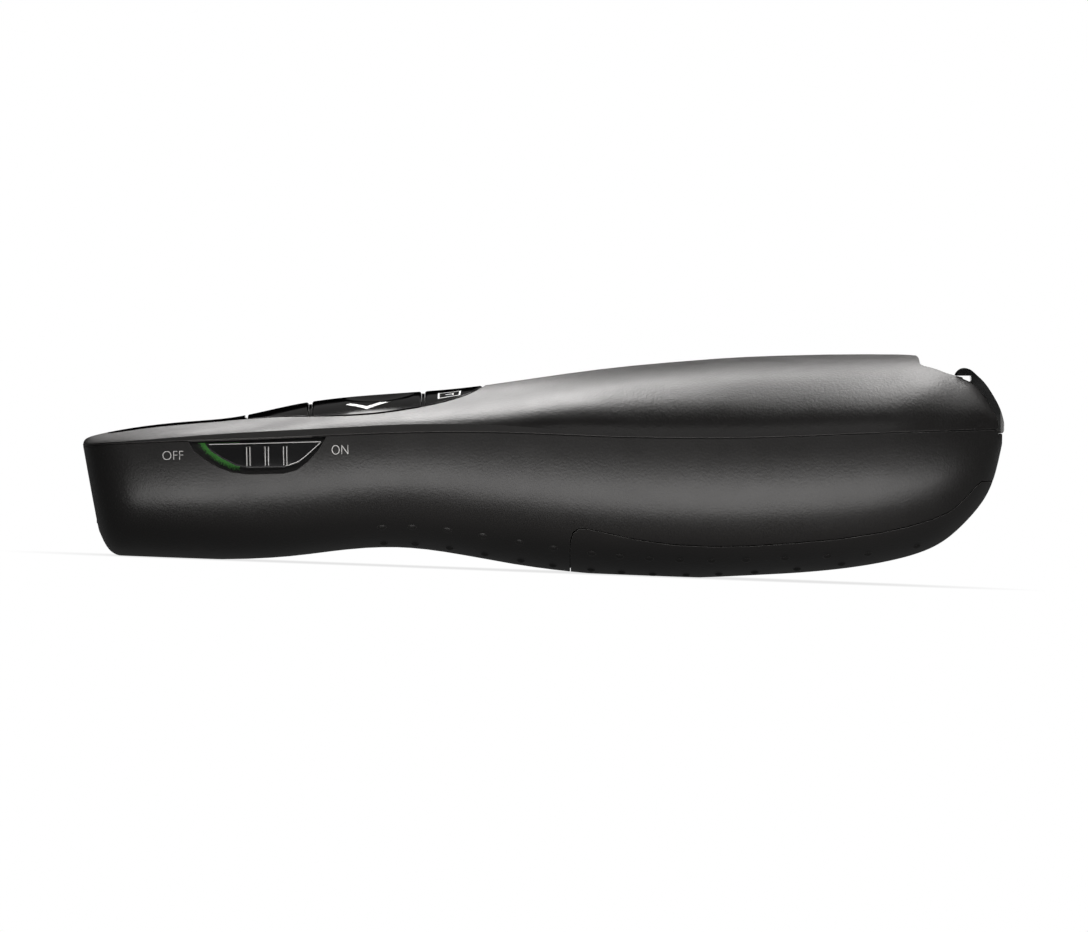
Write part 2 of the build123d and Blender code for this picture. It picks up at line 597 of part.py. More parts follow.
pieces["usb_tongue"] = block(receiver_front + 0.6, usb_back, -plug_width / 2 + usb_shell_wall,
                             plug_width / 2 - usb_shell_wall, usb_z - plug_height / 2 + usb_shell_wall, tongue_z)
for number, y in enumerate((-3.5, -1.0, 1.0, 3.5), 1):
    pieces[f"usb_contact_{number}"] = block(receiver_front + 1.4, usb_back, y - 0.5, y + 0.5, tongue_z, tongue_z + 0.2)
housing_back = cap_front
half = receiver_half_width
housing = block(usb_back, housing_back, -half, half, receiver_bottom, receiver_bottom + receiver_height)
housing = fillet(housing.edges().filter_by(Axis.X), 0.6)
chamber = block(usb_back + 1.0, housing_back, -half + receiver_wall, half - receiver_wall,
                receiver_bottom + receiver_wall, receiver_bottom + receiver_height - receiver_wall)
pieces["receiver_housing"] = solid_of(housing - chamber)
card_z = receiver_bottom + receiver_wall
pieces["receiver_board"] = block(usb_back + 1.0, housing_back - 2.2, -half + receiver_wall + 0.2,
                                 half - receiver_wall - 0.2, card_z, card_z + 0.8)
cap_edge = Spline(*cap_profile) + Polyline(cap_profile[-1], *cap_inside, cap_profile[0])
cap_face = make_face(Plane.XZ * cap_edge)
cap = Pos(0, cap_half_width, 0) * extrude(cap_face, amount=2 * cap_half_width, dir=(0, -1, 0))
cap_reach = max(x for x, z in cap_profile)
cap = cap & (Pos(cap_reach - cap_bow_radius, 0, 0) * Cylinder(cap_bow_radius, 40))
plug_in = block(housing_back - 2.0, cap_front + 0.5, -half + receiver_wall, half - receiver_wall, card_z,
                receiver_bottom + receiver_height - receiver_wall)
cap = cap + plug_in
pieces["receiver_end_cap"] = solid_of(cap)
print("receiver done")

# ================================================================ top cover
scoop = side_prism(scoop_profile, -scoop_half_width, scoop_half_width)
receiver_path = block(receiver_front, 130, -half - rail_gap, half + rail_gap, receiver_bottom - seat_gap,
                      receiver_bottom + receiver_height + rail_gap)
cap_path = block(cap_front - cap_gap, 130, -cap_half_width - cap_gap, cap_half_width + cap_gap,
                 cap_bottom - cap_gap, 40)
lip_path = block(lip_front - 0.6, cap_front, -cap_half_width - cap_gap, cap_half_width + cap_gap,
                 lip_underside - 0.1, 40)
scoop_floor = block(102.5, 112.5, -10.5, 10.5, receiver_bottom + receiver_height + rail_gap, 30) & trimmed
boss = post(screw_x, 0, ceiling_top + seat_gap, 20, 2.4) & skin_pocket
boss_ribs = block(screw_x - 4.5, screw_x + 4.5, -0.6, 0.6, 2.5, 20) & skin_pocket
top = (upper - inner) - opening_prism
top = top + scoop_floor + boss + boss_ribs
top = top - scoop - lip_path - cap_path - receiver_path
top = top - post(screw_x, 0, -5, ceiling_low + 5.7, 1.0)
seam_groove = (outer - hull(groove_depth)) & (Pos(0, 0, groove_height) * below)
top = top - seam_groove
for x in tab_spots:
    span = block(x - 2, x + 2, -20, 20, seam(x) - 1.8, seam(x) + 2.4) - block(0, 100, -11, 11, -20, 20)
    above_seam = block(x - 2, x + 2, -20, 20, seam(x) + 0.35, seam(x) + 2.4)
    top = top + ((skin_tab - skin_tab_inner) & span) + ((skin_pocket - skin_tab_inner) & span & above_seam)
pieces["top_cover"] = solid_of(top)
print("top done", len(top.solids()))

# ================================================================ bottom cover
shell = (lower - inner) - cover_area
shell = shell + backing + cradle
for x, y in board_screw_spots:
    shell = shell + (post(x, y, -20, under, 2.0) & skin_pocket) - post(x, y, under - 5, under + 1, 0.8)
for x in (13.5, 50.0):
    for side_sign in (-1, 1):
        y = side_sign * 8.6
        shell = shell + (block(x - 0.6, x + 0.6, y - 1.6, y + 1.6, -20, under) & skin_pocket)
for x in (64.0, 101.0):
    ledge = block(x - 2.5, x + 2.5, -20, 20, ceiling_low - 1.6, ceiling_low) - block(0, 200, -13.3, 13.3, -20, 20)
    shell = shell + (ledge & skin_pocket)
shell = shell - recess - slot - window_hole - aperture_tunnel
shell = shell - cap_path - receiver_path


def dots(covers_x):
    """Low domes standing on the skin at the listed spots on both sides."""
    sphere = (dot_base_radius ** 2 + dot_height ** 2) / (2 * dot_height)
    found = []
    for row in dot_rows:
        for x, y in row:
            if covers_x(x):
                point, facing = skin_point(outer, x, -y, False)
                normal = facing if facing.Z < 0 else facing * -1
                centre = point - normal.normalized() * (sphere - dot_height)
                for across in (centre.Y, -centre.Y):
                    found.append(Pos(centre.X, across, centre.Z) * Rot(0, -90, 0) * Sphere(sphere))
    return found


lap = (hull(lap_depth) - hull(wall)) & block(59.9, lap_reach, -20, 20, -30, -13.2)
shell = shell + lap
shell = solid_of(shell)
shell = solid_of(shell + dots(lambda x: x < 60))
pieces["bottom_cover"] = solid_of(shell & above_table)
print("bottom done, dots", len(shell.faces().filter_by(GeomType.SPHERE)))

# ================================================================ battery door
door = (lower - inner) & door_area
door = door - (hull(lap_depth - lap_play) & block(60, lap_reach + 0.12, -30, 30, -30, -13.1))
for y in hook_spots:
    bar = block(60.75 - hook_reach, 64.0, y - hook_width / 2, y + hook_width / 2, -30, 0) & skin_tab
    bar = bar - hull(wall + 0.1 + hook_thickness)
    door = door + bar + ((skin_pocket - skin_tab_inner) & block(61.6, 64.0, y - hook_width / 2, y + hook_width / 2, -30, -10))
door = solid_of(door)
door = solid_of(door + dots(lambda x: x > 61.5))
pieces["battery_door"] = solid_of(door & above_table)
print("door done, dots", len(door.faces().filter_by(GeomType.SPHERE)))

# ================================================================ set down on the table and save
lean = Rot(0, pitch, 0)
boxes = [(lean * p).bounding_box() for p in pieces.values()]
middle_x = (min(b.min.X for b in boxes) + max(b.max.X for b in boxes)) / 2
floor_z = lowest + rest_flat_depth
place = Pos(-middle_x, 0, -floor_z) * lean
os.makedirs("parts", exist_ok=True)
for name, piece in pieces.items():
    placed = place * piece
    export_step(placed, f"parts/{name}.step")
    if not piece.is_valid:
        print("not valid:", name)
print("pieces", len(pieces), "length", round(max(b.max.X for b in boxes) - min(b.min.X for b in boxes), 2),
      "height", round(max(b.max.Z for b in boxes) - floor_z, 2))
print("place", middle_x, floor_z)
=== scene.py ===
# %% [markdown]
# # A wireless presentation clicker
# This lesson dresses a small hand-held clicker: a curved satin shell, gloss keys let into its top,
# a power slider on its side, a battery door below and a USB receiver stored in its tail.
# The solid pieces come ready made, each one in its place and riding on the body that moves it.
# They could be modelled again here, but then they would only nearly fit.  So the solids stay as
# they are, and this file adds the finishes, the printed marks, the light and the camera.

import math

import bmesh
import bpy
from mathutils import Matrix, Vector
from mathutils.bvhtree import BVHTree


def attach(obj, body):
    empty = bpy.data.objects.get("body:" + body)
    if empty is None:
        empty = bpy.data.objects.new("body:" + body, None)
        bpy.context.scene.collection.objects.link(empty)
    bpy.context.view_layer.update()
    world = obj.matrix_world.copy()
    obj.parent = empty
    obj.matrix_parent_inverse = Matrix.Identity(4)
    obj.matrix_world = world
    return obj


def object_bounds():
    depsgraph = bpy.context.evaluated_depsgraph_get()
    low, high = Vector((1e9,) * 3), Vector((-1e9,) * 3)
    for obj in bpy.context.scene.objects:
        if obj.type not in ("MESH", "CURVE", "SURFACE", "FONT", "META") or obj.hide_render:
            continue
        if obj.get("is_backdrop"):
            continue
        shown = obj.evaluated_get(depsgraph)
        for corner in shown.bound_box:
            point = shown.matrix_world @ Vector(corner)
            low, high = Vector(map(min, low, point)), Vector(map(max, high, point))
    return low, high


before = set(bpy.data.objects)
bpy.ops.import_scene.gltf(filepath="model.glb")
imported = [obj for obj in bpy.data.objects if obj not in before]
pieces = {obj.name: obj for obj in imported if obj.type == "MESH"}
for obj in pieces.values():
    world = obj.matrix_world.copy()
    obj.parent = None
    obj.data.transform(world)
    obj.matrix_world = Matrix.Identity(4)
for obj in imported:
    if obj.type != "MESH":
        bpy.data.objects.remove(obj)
cad_box = [list(corner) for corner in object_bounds()]

# %% [markdown]
# ## The clicker's own ruler
# The clicker leans a little when it lies on a table, so positions on it are easier to give along
# the joint line between its two covers.  In that ruler x runs from nose to tail, y goes across and
# z rises from the joint line, all in millimetres.  One helper turns such a position into the
# table's frame in metres.  Lines that look for its surface start 30 millimetres above or beside
# it, where nothing of it is in the way.

# %% from the clicker's ruler to the table
LEAN = math.radians(3.213)
NOSE_OFFSET_MM = 57.604
BELLY_OFFSET_MM = 13.542
CLEAR_OF_IT_MM = 30


def on_clicker(x, y, z):
    """A position on the clicker, in millimetres along its joint line, as a point in metres."""
    c, s = math.cos(LEAN), math.sin(LEAN)
    return Vector((x * c - z * s - NOSE_OFFSET_MM, y, x * s + z * c + BELLY_OFFSET_MM)) / 1000


def put_in_scene(name, data):
    """A new object made of a mesh, a lamp or a camera."""
    made = bpy.data.objects.new(name, data)
    bpy.context.scene.collection.objects.link(made)
    return made


UP_THE_CLICKER = (on_clicker(0, 0, 1) - on_clicker(0, 0, 0)).normalized()
print("nose of the joint line at", [round(v, 4) for v in on_clicker(0, 0, 0)])

# %% [markdown]
# ## Helpers for finishes
# Every finish here is a small node graph on one Principled shader.  Moulded plastic is never one
# flat colour: the mould's surface gives it a fine grain, its colour drifts a little over a few
# centimetres, and edges that hands rub get lighter and smoother.  Here the lighter edges also stand
# for light: they are partly a painted highlight, where a rounded edge catches a lamp.  An image could
# show all that, but noise measured in the piece's own millimetres keeps the same scale on every piece.

# %% helpers for node graphs
def new_finish(name):
    """An empty material with one Principled shader, with its node tree and the shader."""
    material = bpy.data.materials.new(name)
    material.use_nodes = True
    tree = material.node_tree
    tree.nodes.clear()
    shader = tree.nodes.new("ShaderNodeBsdfPrincipled")
    output = tree.nodes.new("ShaderNodeOutputMaterial")
    tree.links.new(shader.outputs["BSDF"], output.inputs["Surface"])
    place = tree.nodes.new("ShaderNodeTexCoord")
    place.name = "place"
    return material, tree, shader


def noise(tree, size_mm, detail=2.0, stretch=(1, 1, 1)):
    """Noise whose bumps are about size_mm across, measured on the piece itself."""
    mapping = tree.nodes.new("ShaderNodeMapping")
    mapping.inputs["Scale"].default_value = stretch
    texture = tree.nodes.new("ShaderNodeTexNoise")
    texture.inputs["Scale"].default_value = 1000.0 / size_mm
    texture.inputs["Detail"].default_value = detail
    tree.links.new(tree.nodes["place"].outputs["Object"], mapping.inputs["Vector"])
    tree.links.new(mapping.outputs["Vector"], texture.inputs["Vector"])
    return texture.outputs["Fac"]


def remap(tree, value, low, high, from_low=0.3, from_high=0.7):
    """The value squeezed from one range into another."""
    node = tree.nodes.new("ShaderNodeMapRange")
    tree.links.new(value, node.inputs["Value"])
    limits = {"From Min": from_low, "From Max": from_high, "To Min": low, "To Max": high}
    for socket, number in limits.items():
        node.inputs[socket].default_value = number
    return node.outputs["Result"]


def calculate(tree, operation, first, second=None):
    """The outcome of a math node on one or two values."""
    node = tree.nodes.new("ShaderNodeMath")
    node.operation = operation
    tree.links.new(first, node.inputs[0])
    if second is not None:
        tree.links.new(second, node.inputs[1])
    return node.outputs[0]


def along_the_piece(tree):
    """The x of each point of the piece, in metres."""
    ruler = tree.nodes.new("ShaderNodeSeparateXYZ")
    tree.links.new(tree.nodes["place"].outputs["Object"], ruler.inputs["Vector"])
    return ruler.outputs["X"]


def mix_colours(tree, factor, first, second):
    """One colour turning into another as the factor goes from 0 to 1; either may be a link."""
    node = tree.nodes.new("ShaderNodeMix")
    node.data_type = "RGBA"
    tree.links.new(factor, node.inputs["Factor"])
    for socket, colour in (("A", first), ("B", second)):
        target = [i for i in node.inputs if i.name == socket and i.type == "RGBA"][0]
        if hasattr(colour, "is_linked"):
            tree.links.new(colour, target)
        else:
            target.default_value = (*colour, 1.0)
    return [o for o in node.outputs if o.type == "RGBA"][0]


def drifting(tree, colour, size_mm, darkest, detail=2.0):
    """A colour that drifts between a darker shade and itself over about size_mm."""
    drift = remap(tree, noise(tree, size_mm, detail), 0.0, 1.0)
    return mix_colours(tree, drift, tuple(c * darkest for c in colour), colour)


def roughen(tree, shader, pattern, low, high):
    """Roughness that follows a noise pattern from a low to a high value."""
    tree.links.new(remap(tree, pattern, low, high), shader.inputs["Roughness"])


def bump(tree, shader, height, depth_mm, under=None):
    """Bumps of the given depth on the shader's surface, on top of any earlier normal."""
    node = tree.nodes.new("ShaderNodeBump")
    node.inputs["Distance"].default_value = depth_mm / 1000
    tree.links.new(height, node.inputs["Height"])
    if under is not None:
        tree.links.new(under, node.inputs["Normal"])
    tree.links.new(node.outputs["Normal"], shader.inputs["Normal"])
    return node.outputs["Normal"]


def soft_edges(tree, radius_mm):
    """A normal that rounds every sharp edge a little, and a factor that is 1 on those edges."""
    rounded = tree.nodes.new("ShaderNodeBevel")
    rounded.samples = 4
    rounded.inputs["Radius"].default_value = radius_mm / 1000
    plain = tree.nodes.new("ShaderNodeNewGeometry")
    likeness = tree.nodes.new("ShaderNodeVectorMath")
    likeness.operation = "DOT_PRODUCT"
    tree.links.new(rounded.outputs["Normal"], likeness.inputs[0])
    tree.links.new(plain.outputs["Normal"], likeness.inputs[1])
    edge = remap(tree, likeness.outputs["Value"], 1.0, 0.0, 0.72, 0.98)
    return rounded.outputs["Normal"], edge


def plastic(name, colour, wear_and_highlight, grain_mm, grain_depth_mm, roughness, edge_mm=0.12, specular=0.5):
    """Moulded plastic: drifting colour, fine grain, and rounded edges painted lighter, partly as wear
    and partly as a painted highlight.
    """
    material, tree, shader = new_finish(name)
    normal, edge = soft_edges(tree, edge_mm)
    # Rounded edges take the lighter colour: partly wear, partly a painted highlight where an edge
    # catches light.
    base = mix_colours(tree, edge, drifting(tree, colour, 9.0, 0.86), wear_and_highlight)
    tree.links.new(base, shader.inputs["Base Color"])
    bump(tree, shader, noise(tree, grain_mm), grain_depth_mm, under=normal)
    roughen(tree, shader, noise(tree, 4.0, 3.0), roughness * 0.94, roughness * 1.06)
    shader.inputs["Specular IOR Level"].default_value = specular
    return material


def dress(material, slot_name, *names):
    """Give the named solid pieces this finish; slot_name is not used."""
    for name in names:
        piece = pieces[name]
        piece.data.materials.clear()
        piece.data.materials.append(material)


print("helpers ready")

# %% [markdown]
# ## The satin shell
# The two covers and the battery door are black plastic out of a finely etched mould.  The etching
# scatters light into a broad soft sheen, so the shell looks grey where a lamp mirrors in it and
# nearly black elsewhere.  A glossy coat would mirror too sharply and a rough one would look like
# rubber, so the roughness lies in between and the grain is only a few hundredths of a millimetre deep.

# %% finish of the two covers and the door
# On the shell the light edge colour is mostly a painted highlight along the seam, the joints and the
# door's edges.
shell_finish = plastic("satin_shell", (0.0098, 0.0090, 0.0086), (0.16, 0.155, 0.15),
                       0.32, 0.028, 0.40, edge_mm=0.10, specular=0.7)
dress(shell_finish, "body_matte", "top_cover", "bottom_cover", "battery_door")
print("shell dressed")

# %% [markdown]
# ## The gloss keys
# The five keys, the strip and frame around them, and the receiver's end cap are polished black.
# Polished plastic still has a faint waviness from shrinking in the mould and very fine hairlines
# from use.  Both are far too shallow to model, so they go in as a low bump and a drifting roughness.

# %% finish of the keys, their frame and the cap
def polished(name, colour, roughness, wear_and_highlight):
    """Polished black plastic with a slow waviness, faint hairlines, and edges painted lighter, partly
    as wear and partly as a painted highlight.
    """
    material, tree, shader = new_finish(name)
    normal, edge = soft_edges(tree, 0.08)
    # Edges take the lighter colour, partly wear and partly a painted highlight.
    base = mix_colours(tree, edge, drifting(tree, colour, 7.0, 0.8), wear_and_highlight)
    tree.links.new(base, shader.inputs["Base Color"])
    waviness = bump(tree, shader, noise(tree, 5.0, 1.0), 0.02, under=normal)
    hairlines = noise(tree, 0.3, 3.0, stretch=(0.15, 1, 1))
    bump(tree, shader, hairlines, 0.0006, under=waviness)
    roughen(tree, shader, noise(tree, 2.0, 4.0), roughness * 0.8, roughness * 1.3)
    return material


key_names = ["laser_key", "previous_key", "next_key", "slideshow_key", "blank_screen_key"]
key_finish = polished("key_polish", (0.006, 0.006, 0.0065), 0.09, (0.03, 0.03, 0.03))
dress(key_finish, "key_gloss", *key_names, "key_bezel", "receiver_end_cap")
# The slider's grey edge colour is mostly a painted highlight along its edges.
slider_finish = polished("slider_polish", (0.008, 0.008, 0.0085), 0.16, (0.25, 0.25, 0.25))
dress(slider_finish, "slider_gloss", "power_slider")
print("keys and slider dressed")

# %% [markdown]
# ## The green flag
# Behind the slider lies a thin painted plate.  It shows as a green crescent when the clicker is
# off, and the slider covers it when it is on.  The green is bright beside the slider and gets darker
# away from it towards the recess and towards the rear, with a fine speckle where it changes, so its
# strength follows the distance from the slider's rounded front edge.  That edge is nearly an arc,
# and an arc is known from three of its points.

# %% finish of the flag
FLAG_ARC_MM = (15.3, 0.12), (17.4, -1.8), (20.6, -3.0)
FADE_START_MM, FADE_END_MM = 0.15, 0.95
DARKENING_START_MM, DARKENING_END_MM, FLAG_FOOT_MM = 18.8, 22.5, -3


def circle_through(first, second, third):
    """Centre and radius of the circle through three flat points."""
    (ax, ay), (bx, by), (cx, cy) = first, second, third
    spread = 2 * (ax * (by - cy) + bx * (cy - ay) + cx * (ay - by))
    squares = [x * x + y * y for x, y in (first, second, third)]
    x = (squares[0] * (by - cy) + squares[1] * (cy - ay) + squares[2] * (ay - by)) / spread
    y = (squares[0] * (cx - bx) + squares[1] * (ax - cx) + squares[2] * (bx - ax)) / spread
    return (x, y), math.hypot(ax - x, ay - y)


def flag_paint():
    """Green, bright beside the slider and darker away from it and towards the rear, with a fine
    speckle.
    """
    material, tree, shader = new_finish("flag_paint")
    (x, z), radius = circle_through(*FLAG_ARC_MM)
    flatten = tree.nodes.new("ShaderNodeVectorMath")
    flatten.operation = "MULTIPLY"
    flatten.inputs[1].default_value = (1, 0, 1)
    tree.links.new(tree.nodes["place"].outputs["Object"], flatten.inputs[0])
    away = tree.nodes.new("ShaderNodeVectorMath")
    away.operation = "DISTANCE"
    away.inputs[1].default_value = on_clicker(x, 0, z)
    tree.links.new(flatten.outputs["Vector"], away.inputs[0])
    fade = remap(tree, away.outputs["Value"], 1.0, 0.0,
                 (radius + FADE_START_MM) / 1000, (radius + FADE_END_MM) / 1000)
    speckle = remap(tree, noise(tree, 0.12, 1.0), -0.3, 0.3)
    # The green also gets darker towards the rear.
    rear_darkening = remap(tree, along_the_piece(tree), 0.0, -0.9,
                     on_clicker(DARKENING_START_MM, 0, FLAG_FOOT_MM).x,
                     on_clicker(DARKENING_END_MM, 0, FLAG_FOOT_MM).x)
    for part in (speckle, rear_darkening):
        fade = calculate(tree, "ADD", fade, part)
    strength = remap(tree, fade, 0.0, 1.0, 0.3, 0.75)
    base = mix_colours(tree, strength, (0.012, 0.013, 0.011), (0.085, 0.42, 0.065))
    tree.links.new(base, shader.inputs["Base Color"])
    bump(tree, shader, noise(tree, 0.15), 0.01)
    roughen(tree, shader, noise(tree, 1.0), 0.45, 0.6)
    return material


dress(flag_paint(), "flag_green", "power_flag")
print("flag dressed")

# %% [markdown]
# ## The pieces inside
# They show little unless the door is open or the clicker is taken apart, but each has the finish
# of the real thing: dull moulded carriers, a green board with printed tracks, plated metal that is
# brushed or turned, gold contacts and the cells' dark jackets.

# %% finishes of the moulded carriers, switches and lamp
carrier = plastic("carrier_plastic", (0.022, 0.022, 0.023), (0.06, 0.06, 0.06), 0.5, 0.015, 0.5)
dress(carrier, "inner_plastic", "battery_tray", "receiver_housing", "usb_tongue", "slide_switch",
      "switch_lever", *[name + "_plunger" for name in key_names])
switch_finish = plastic("switch_plastic", (0.24, 0.24, 0.25), (0.35, 0.35, 0.35), 0.3, 0.01, 0.45)
dress(switch_finish, "switch_plastic", *[name + "_switch" for name in key_names])
chip_finish = plastic("chip_resin", (0.018, 0.018, 0.019), (0.05, 0.05, 0.05), 0.15, 0.006, 0.55)
dress(chip_finish, "chip_black", "radio_chip")
led_finish = plastic("lamp_resin", (0.78, 0.75, 0.64), (0.85, 0.83, 0.75), 0.4, 0.004, 0.3)
dress(led_finish, "led_white", "status_led")
print("carriers dressed")


# %% finish of the circuit boards
def board_mask():
    """Green solder mask over raised tracks, with a few gold pads."""
    material, tree, shader = new_finish("solder_mask")
    tracks = tree.nodes.new("ShaderNodeTexBrick")
    tracks.inputs["Scale"].default_value = 210.0
    tracks.inputs["Mortar Size"].default_value = 0.06
    tracks.inputs["Brick Width"].default_value = 0.9
    tracks.inputs["Row Height"].default_value = 0.35
    tracks.offset = 0.35
    tree.links.new(tree.nodes["place"].outputs["Object"], tracks.inputs["Vector"])
    base = mix_colours(tree, tracks.outputs["Fac"], (0.012, 0.085, 0.032), (0.03, 0.16, 0.06))
    pads = remap(tree, noise(tree, 2.4, 0.0), 0.0, 1.0, 0.66, 0.68)
    base = mix_colours(tree, pads, base, (0.62, 0.47, 0.2))
    tree.links.new(base, shader.inputs["Base Color"])
    tree.links.new(pads, shader.inputs["Metallic"])
    bump(tree, shader, tracks.outputs["Fac"], 0.03)
    roughen(tree, shader, noise(tree, 1.5), 0.28, 0.4)
    return material


dress(board_mask(), "circuit_board", "main_board", "receiver_board")
print("boards dressed")


# %% finishes of the metal pieces
def metal(name, colour, roughness, brush):
    """Plated or turned metal: fine lines along one direction, and a few dull patches."""
    material, tree, shader = new_finish(name)
    lines = noise(tree, 0.25, 4.0, stretch=brush)
    tarnish = remap(tree, noise(tree, 2.5, 3.0), 0.0, 1.0, 0.35, 0.75)
    base = mix_colours(tree, tarnish, colour, tuple(c * 0.72 for c in colour))
    tree.links.new(base, shader.inputs["Base Color"])
    shader.inputs["Metallic"].default_value = 1.0
    roughen(tree, shader, lines, roughness * 0.7, roughness * 1.4)
    bump(tree, shader, lines, 0.004)
    return material


steel = metal("plated_steel", (0.62, 0.61, 0.59), 0.26, (0.1, 1, 1))
dress(steel, "plated_steel", "crystal", "usb_shell", "laser_diode", "contact_positive",
      "contact_negative", "contact_bridge", "spring_negative", "spring_bridge", "housing_screw",
      "board_screw_front", "board_screw_rear")
dress(metal("turned_brass", (0.72, 0.52, 0.22), 0.28, (1, 0.1, 0.1)), "turned_brass", "laser_barrel")
dress(metal("contact_gold", (0.86, 0.62, 0.26), 0.2, (0.15, 1, 1)), "gold_plate",
      *[f"usb_contact_{number}" for number in range(1, 5)])
print("metal dressed")


# %% finishes of the window, the lens and the light pipe
def clear(name, colour, roughness):
    """See-through plastic or glass with a few fine scratches."""
    material, tree, shader = new_finish(name)
    tree.links.new(drifting(tree, colour, 3.0, 0.92), shader.inputs["Base Color"])
    shader.inputs["Transmission Weight"].default_value = 1.0
    shader.inputs["IOR"].default_value = 1.49
    scratches = noise(tree, 0.2, 4.0, stretch=(1, 0.1, 1))
    roughen(tree, shader, scratches, roughness * 0.5, roughness * 1.5)
    bump(tree, shader, scratches, 0.001)
    return material


dress(clear("dark_window", (0.12, 0.015, 0.015), 0.05), "window_dark", "laser_window")
dress(clear("clear_plastic", (0.9, 0.92, 0.92), 0.06), "clear_plastic",
      "laser_lens", "status_light_pipe")
print("clear pieces dressed")


# %% finish of the cells
CELL_MIDDLE_MM, CELL_HEIGHT_MM, CELL_HALF_LENGTH_MM = 82.7, -6.15, 22.3
SHOULDER_START, SHOULDER_END = 0.68, 0.70


def cell_jacket():
    """A dark printed jacket with copper-coloured shoulders at both ends."""
    material, tree, shader = new_finish("cell_jacket")
    middle, half = on_clicker(CELL_MIDDLE_MM, 0, CELL_HEIGHT_MM).x, CELL_HALF_LENGTH_MM / 1000
    along = remap(tree, along_the_piece(tree), -1.0, 1.0, middle - half, middle + half)
    from_middle = calculate(tree, "ABSOLUTE", along)
    printed = remap(tree, from_middle, 0.0, 1.0, SHOULDER_START, SHOULDER_END)
    base = mix_colours(tree, printed, (0.035, 0.036, 0.04), (0.55, 0.33, 0.16))
    tree.links.new(base, shader.inputs["Base Color"])
    shader.inputs["Metallic"].default_value = 0.6
    roughen(tree, shader, noise(tree, 3.0, 3.0), 0.28, 0.42)
    bump(tree, shader, noise(tree, 0.4), 0.004)
    return material


dress(cell_jacket(), "cell_jacket", "battery_left", "battery_right")
print("cells dressed")

# %% [markdown]
# ## Dividers between the keys
# Thin upright walls of the key frame stand in the gaps between the keys, just below their tops, so
# no light comes through from the far side.  Each wall's top follows the tops of the keys beside it,
# which a search for the nearest face straight below finds about every millimetre.

# %% build the dividers
def surface_of(name):
    """A search tree of a solid piece's faces."""
    mesh = pieces[name].data
    return BVHTree.FromPolygons([v.co for v in mesh.vertices], [p.vertices for p in mesh.polygons])


def upright_wall(name, rows, thickness, direction, finish):
    """A wall of the housing through rows of a low and a high point, on the clicker's ruler."""
    half = Vector(direction) * thickness / 2
    mesh = bpy.data.meshes.new(name)
    wall = bmesh.new()
    edges = [[wall.verts.new(on_clicker(*(Vector(row[end]) + side))) for row in rows]
             for side, end in ((-half, 0), (-half, 1), (half, 1), (half, 0))]
    for i in range(len(rows) - 1):
        for first, second in zip(edges, edges[1:] + edges[:1]):
            wall.faces.new((first[i], first[i + 1], second[i + 1], second[i]))
    for i in (0, -1):
        wall.faces.new([edge[i] for edge in edges])
    bmesh.ops.recalc_face_normals(wall, faces=wall.faces)
    wall.to_mesh(mesh)
    wall.free()
    mesh.materials.append(finish)
    made = put_in_scene(name, mesh)
    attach(made, "housing")
    return made


def height_below(tree, x, y, start):
    """How high the nearest face straight below a point is, or None if there is none."""
    spot = tree.ray_cast(on_clicker(x, y, start), -UP_THE_CLICKER)[0]
    return None if spot is None else start - (spot - on_clicker(x, y, start)).length * 1000


DIVIDER_THICKNESS_MM, DIVIDER_HEIGHT_MM, DIVIDER_STEPS = 0.36, 1.6, 24
BELOW_KEY_TOPS_MM, BESIDE_MM = 0.22, 0.6


def divider(name, along, half_width, beside, thickness=DIVIDER_THICKNESS_MM):
    """A thin wall across the clicker at x = along, as high as the lower of the pieces beside it."""
    trees = [surface_of(key) for key in beside]
    rows = []
    for i in range(DIVIDER_STEPS + 1):
        across = half_width * (2 * i / DIVIDER_STEPS - 1)
        found = [height_below(tree, along + step, across, CLEAR_OF_IT_MM)
                 for tree in trees for step in (-BESIDE_MM, BESIDE_MM)]
        found = [height for height in found if height is not None]
        if found:
            top = min(found) - BELOW_KEY_TOPS_MM
            rows.append(((along, across, top - DIVIDER_HEIGHT_MM), (along, across, top)))
    return upright_wall(name, rows, thickness, (1, 0, 0), key_finish)


dividers = [
    divider("divider_front", 28.5, 11.6, ["laser_key", "previous_key", "next_key"]),
    divider("divider_rear", 42.65, 11.0,
            ["previous_key", "next_key", "slideshow_key", "blank_screen_key"]),
    divider("divider_nose", 20.37, 8.0, ["laser_key", "key_bezel"], thickness=0.14)]
print("divider corners:", [len(wall.data.vertices) for wall in dividers])

# %% [markdown]
# ## A rib and two lips at the battery door
# The door's side joints lie level with each other, and its end joints run straight across, so a
# level look would pass through the clicker.  A rib of the tray stands between the cells and ends
# just above the door, and a small lip of the lower cover reaches part of the way into each end
# joint.  All three stop short of the door to leave it room to swing, so a small light spot stays
# at the foot of its front joint.

# %% build the rib and the lips
RIB_START, RIB_END, RIB_TOP, RIB_THICKNESS, RIB_STEPS = 61.0, 112.5, -0.8, 0.3, 40
ABOVE_DOOR_MM, DOOR_LAP_END = 0.35, 62.5
door_surface = surface_of("battery_door")
rib_rows = []
for i in range(RIB_STEPS + 1):
    x = RIB_START + (RIB_END - RIB_START) * i / RIB_STEPS
    foot = height_below(door_surface, max(x, DOOR_LAP_END), 0, CELL_HEIGHT_MM) + ABOVE_DOOR_MM
    rib_rows.append(((x, 0, foot), (x, 0, RIB_TOP)))
upright_wall("cell_rib", rib_rows, RIB_THICKNESS, (0, 1, 0), carrier)
door_lips = {"door_lip_tail": (112.6, 113.85, -6.475, -6.25, 2.4),
             "door_lip_front": (60.4, 60.67, -16.80, -16.30, 4.0)}
for name, (front, rear, low, high, width) in door_lips.items():
    lip_rows = [((x, 0, low), (x, 0, high)) for x in (front, rear)]
    upright_wall(name, lip_rows, width, (0, 1, 0), shell_finish)
print("rib and lips built")

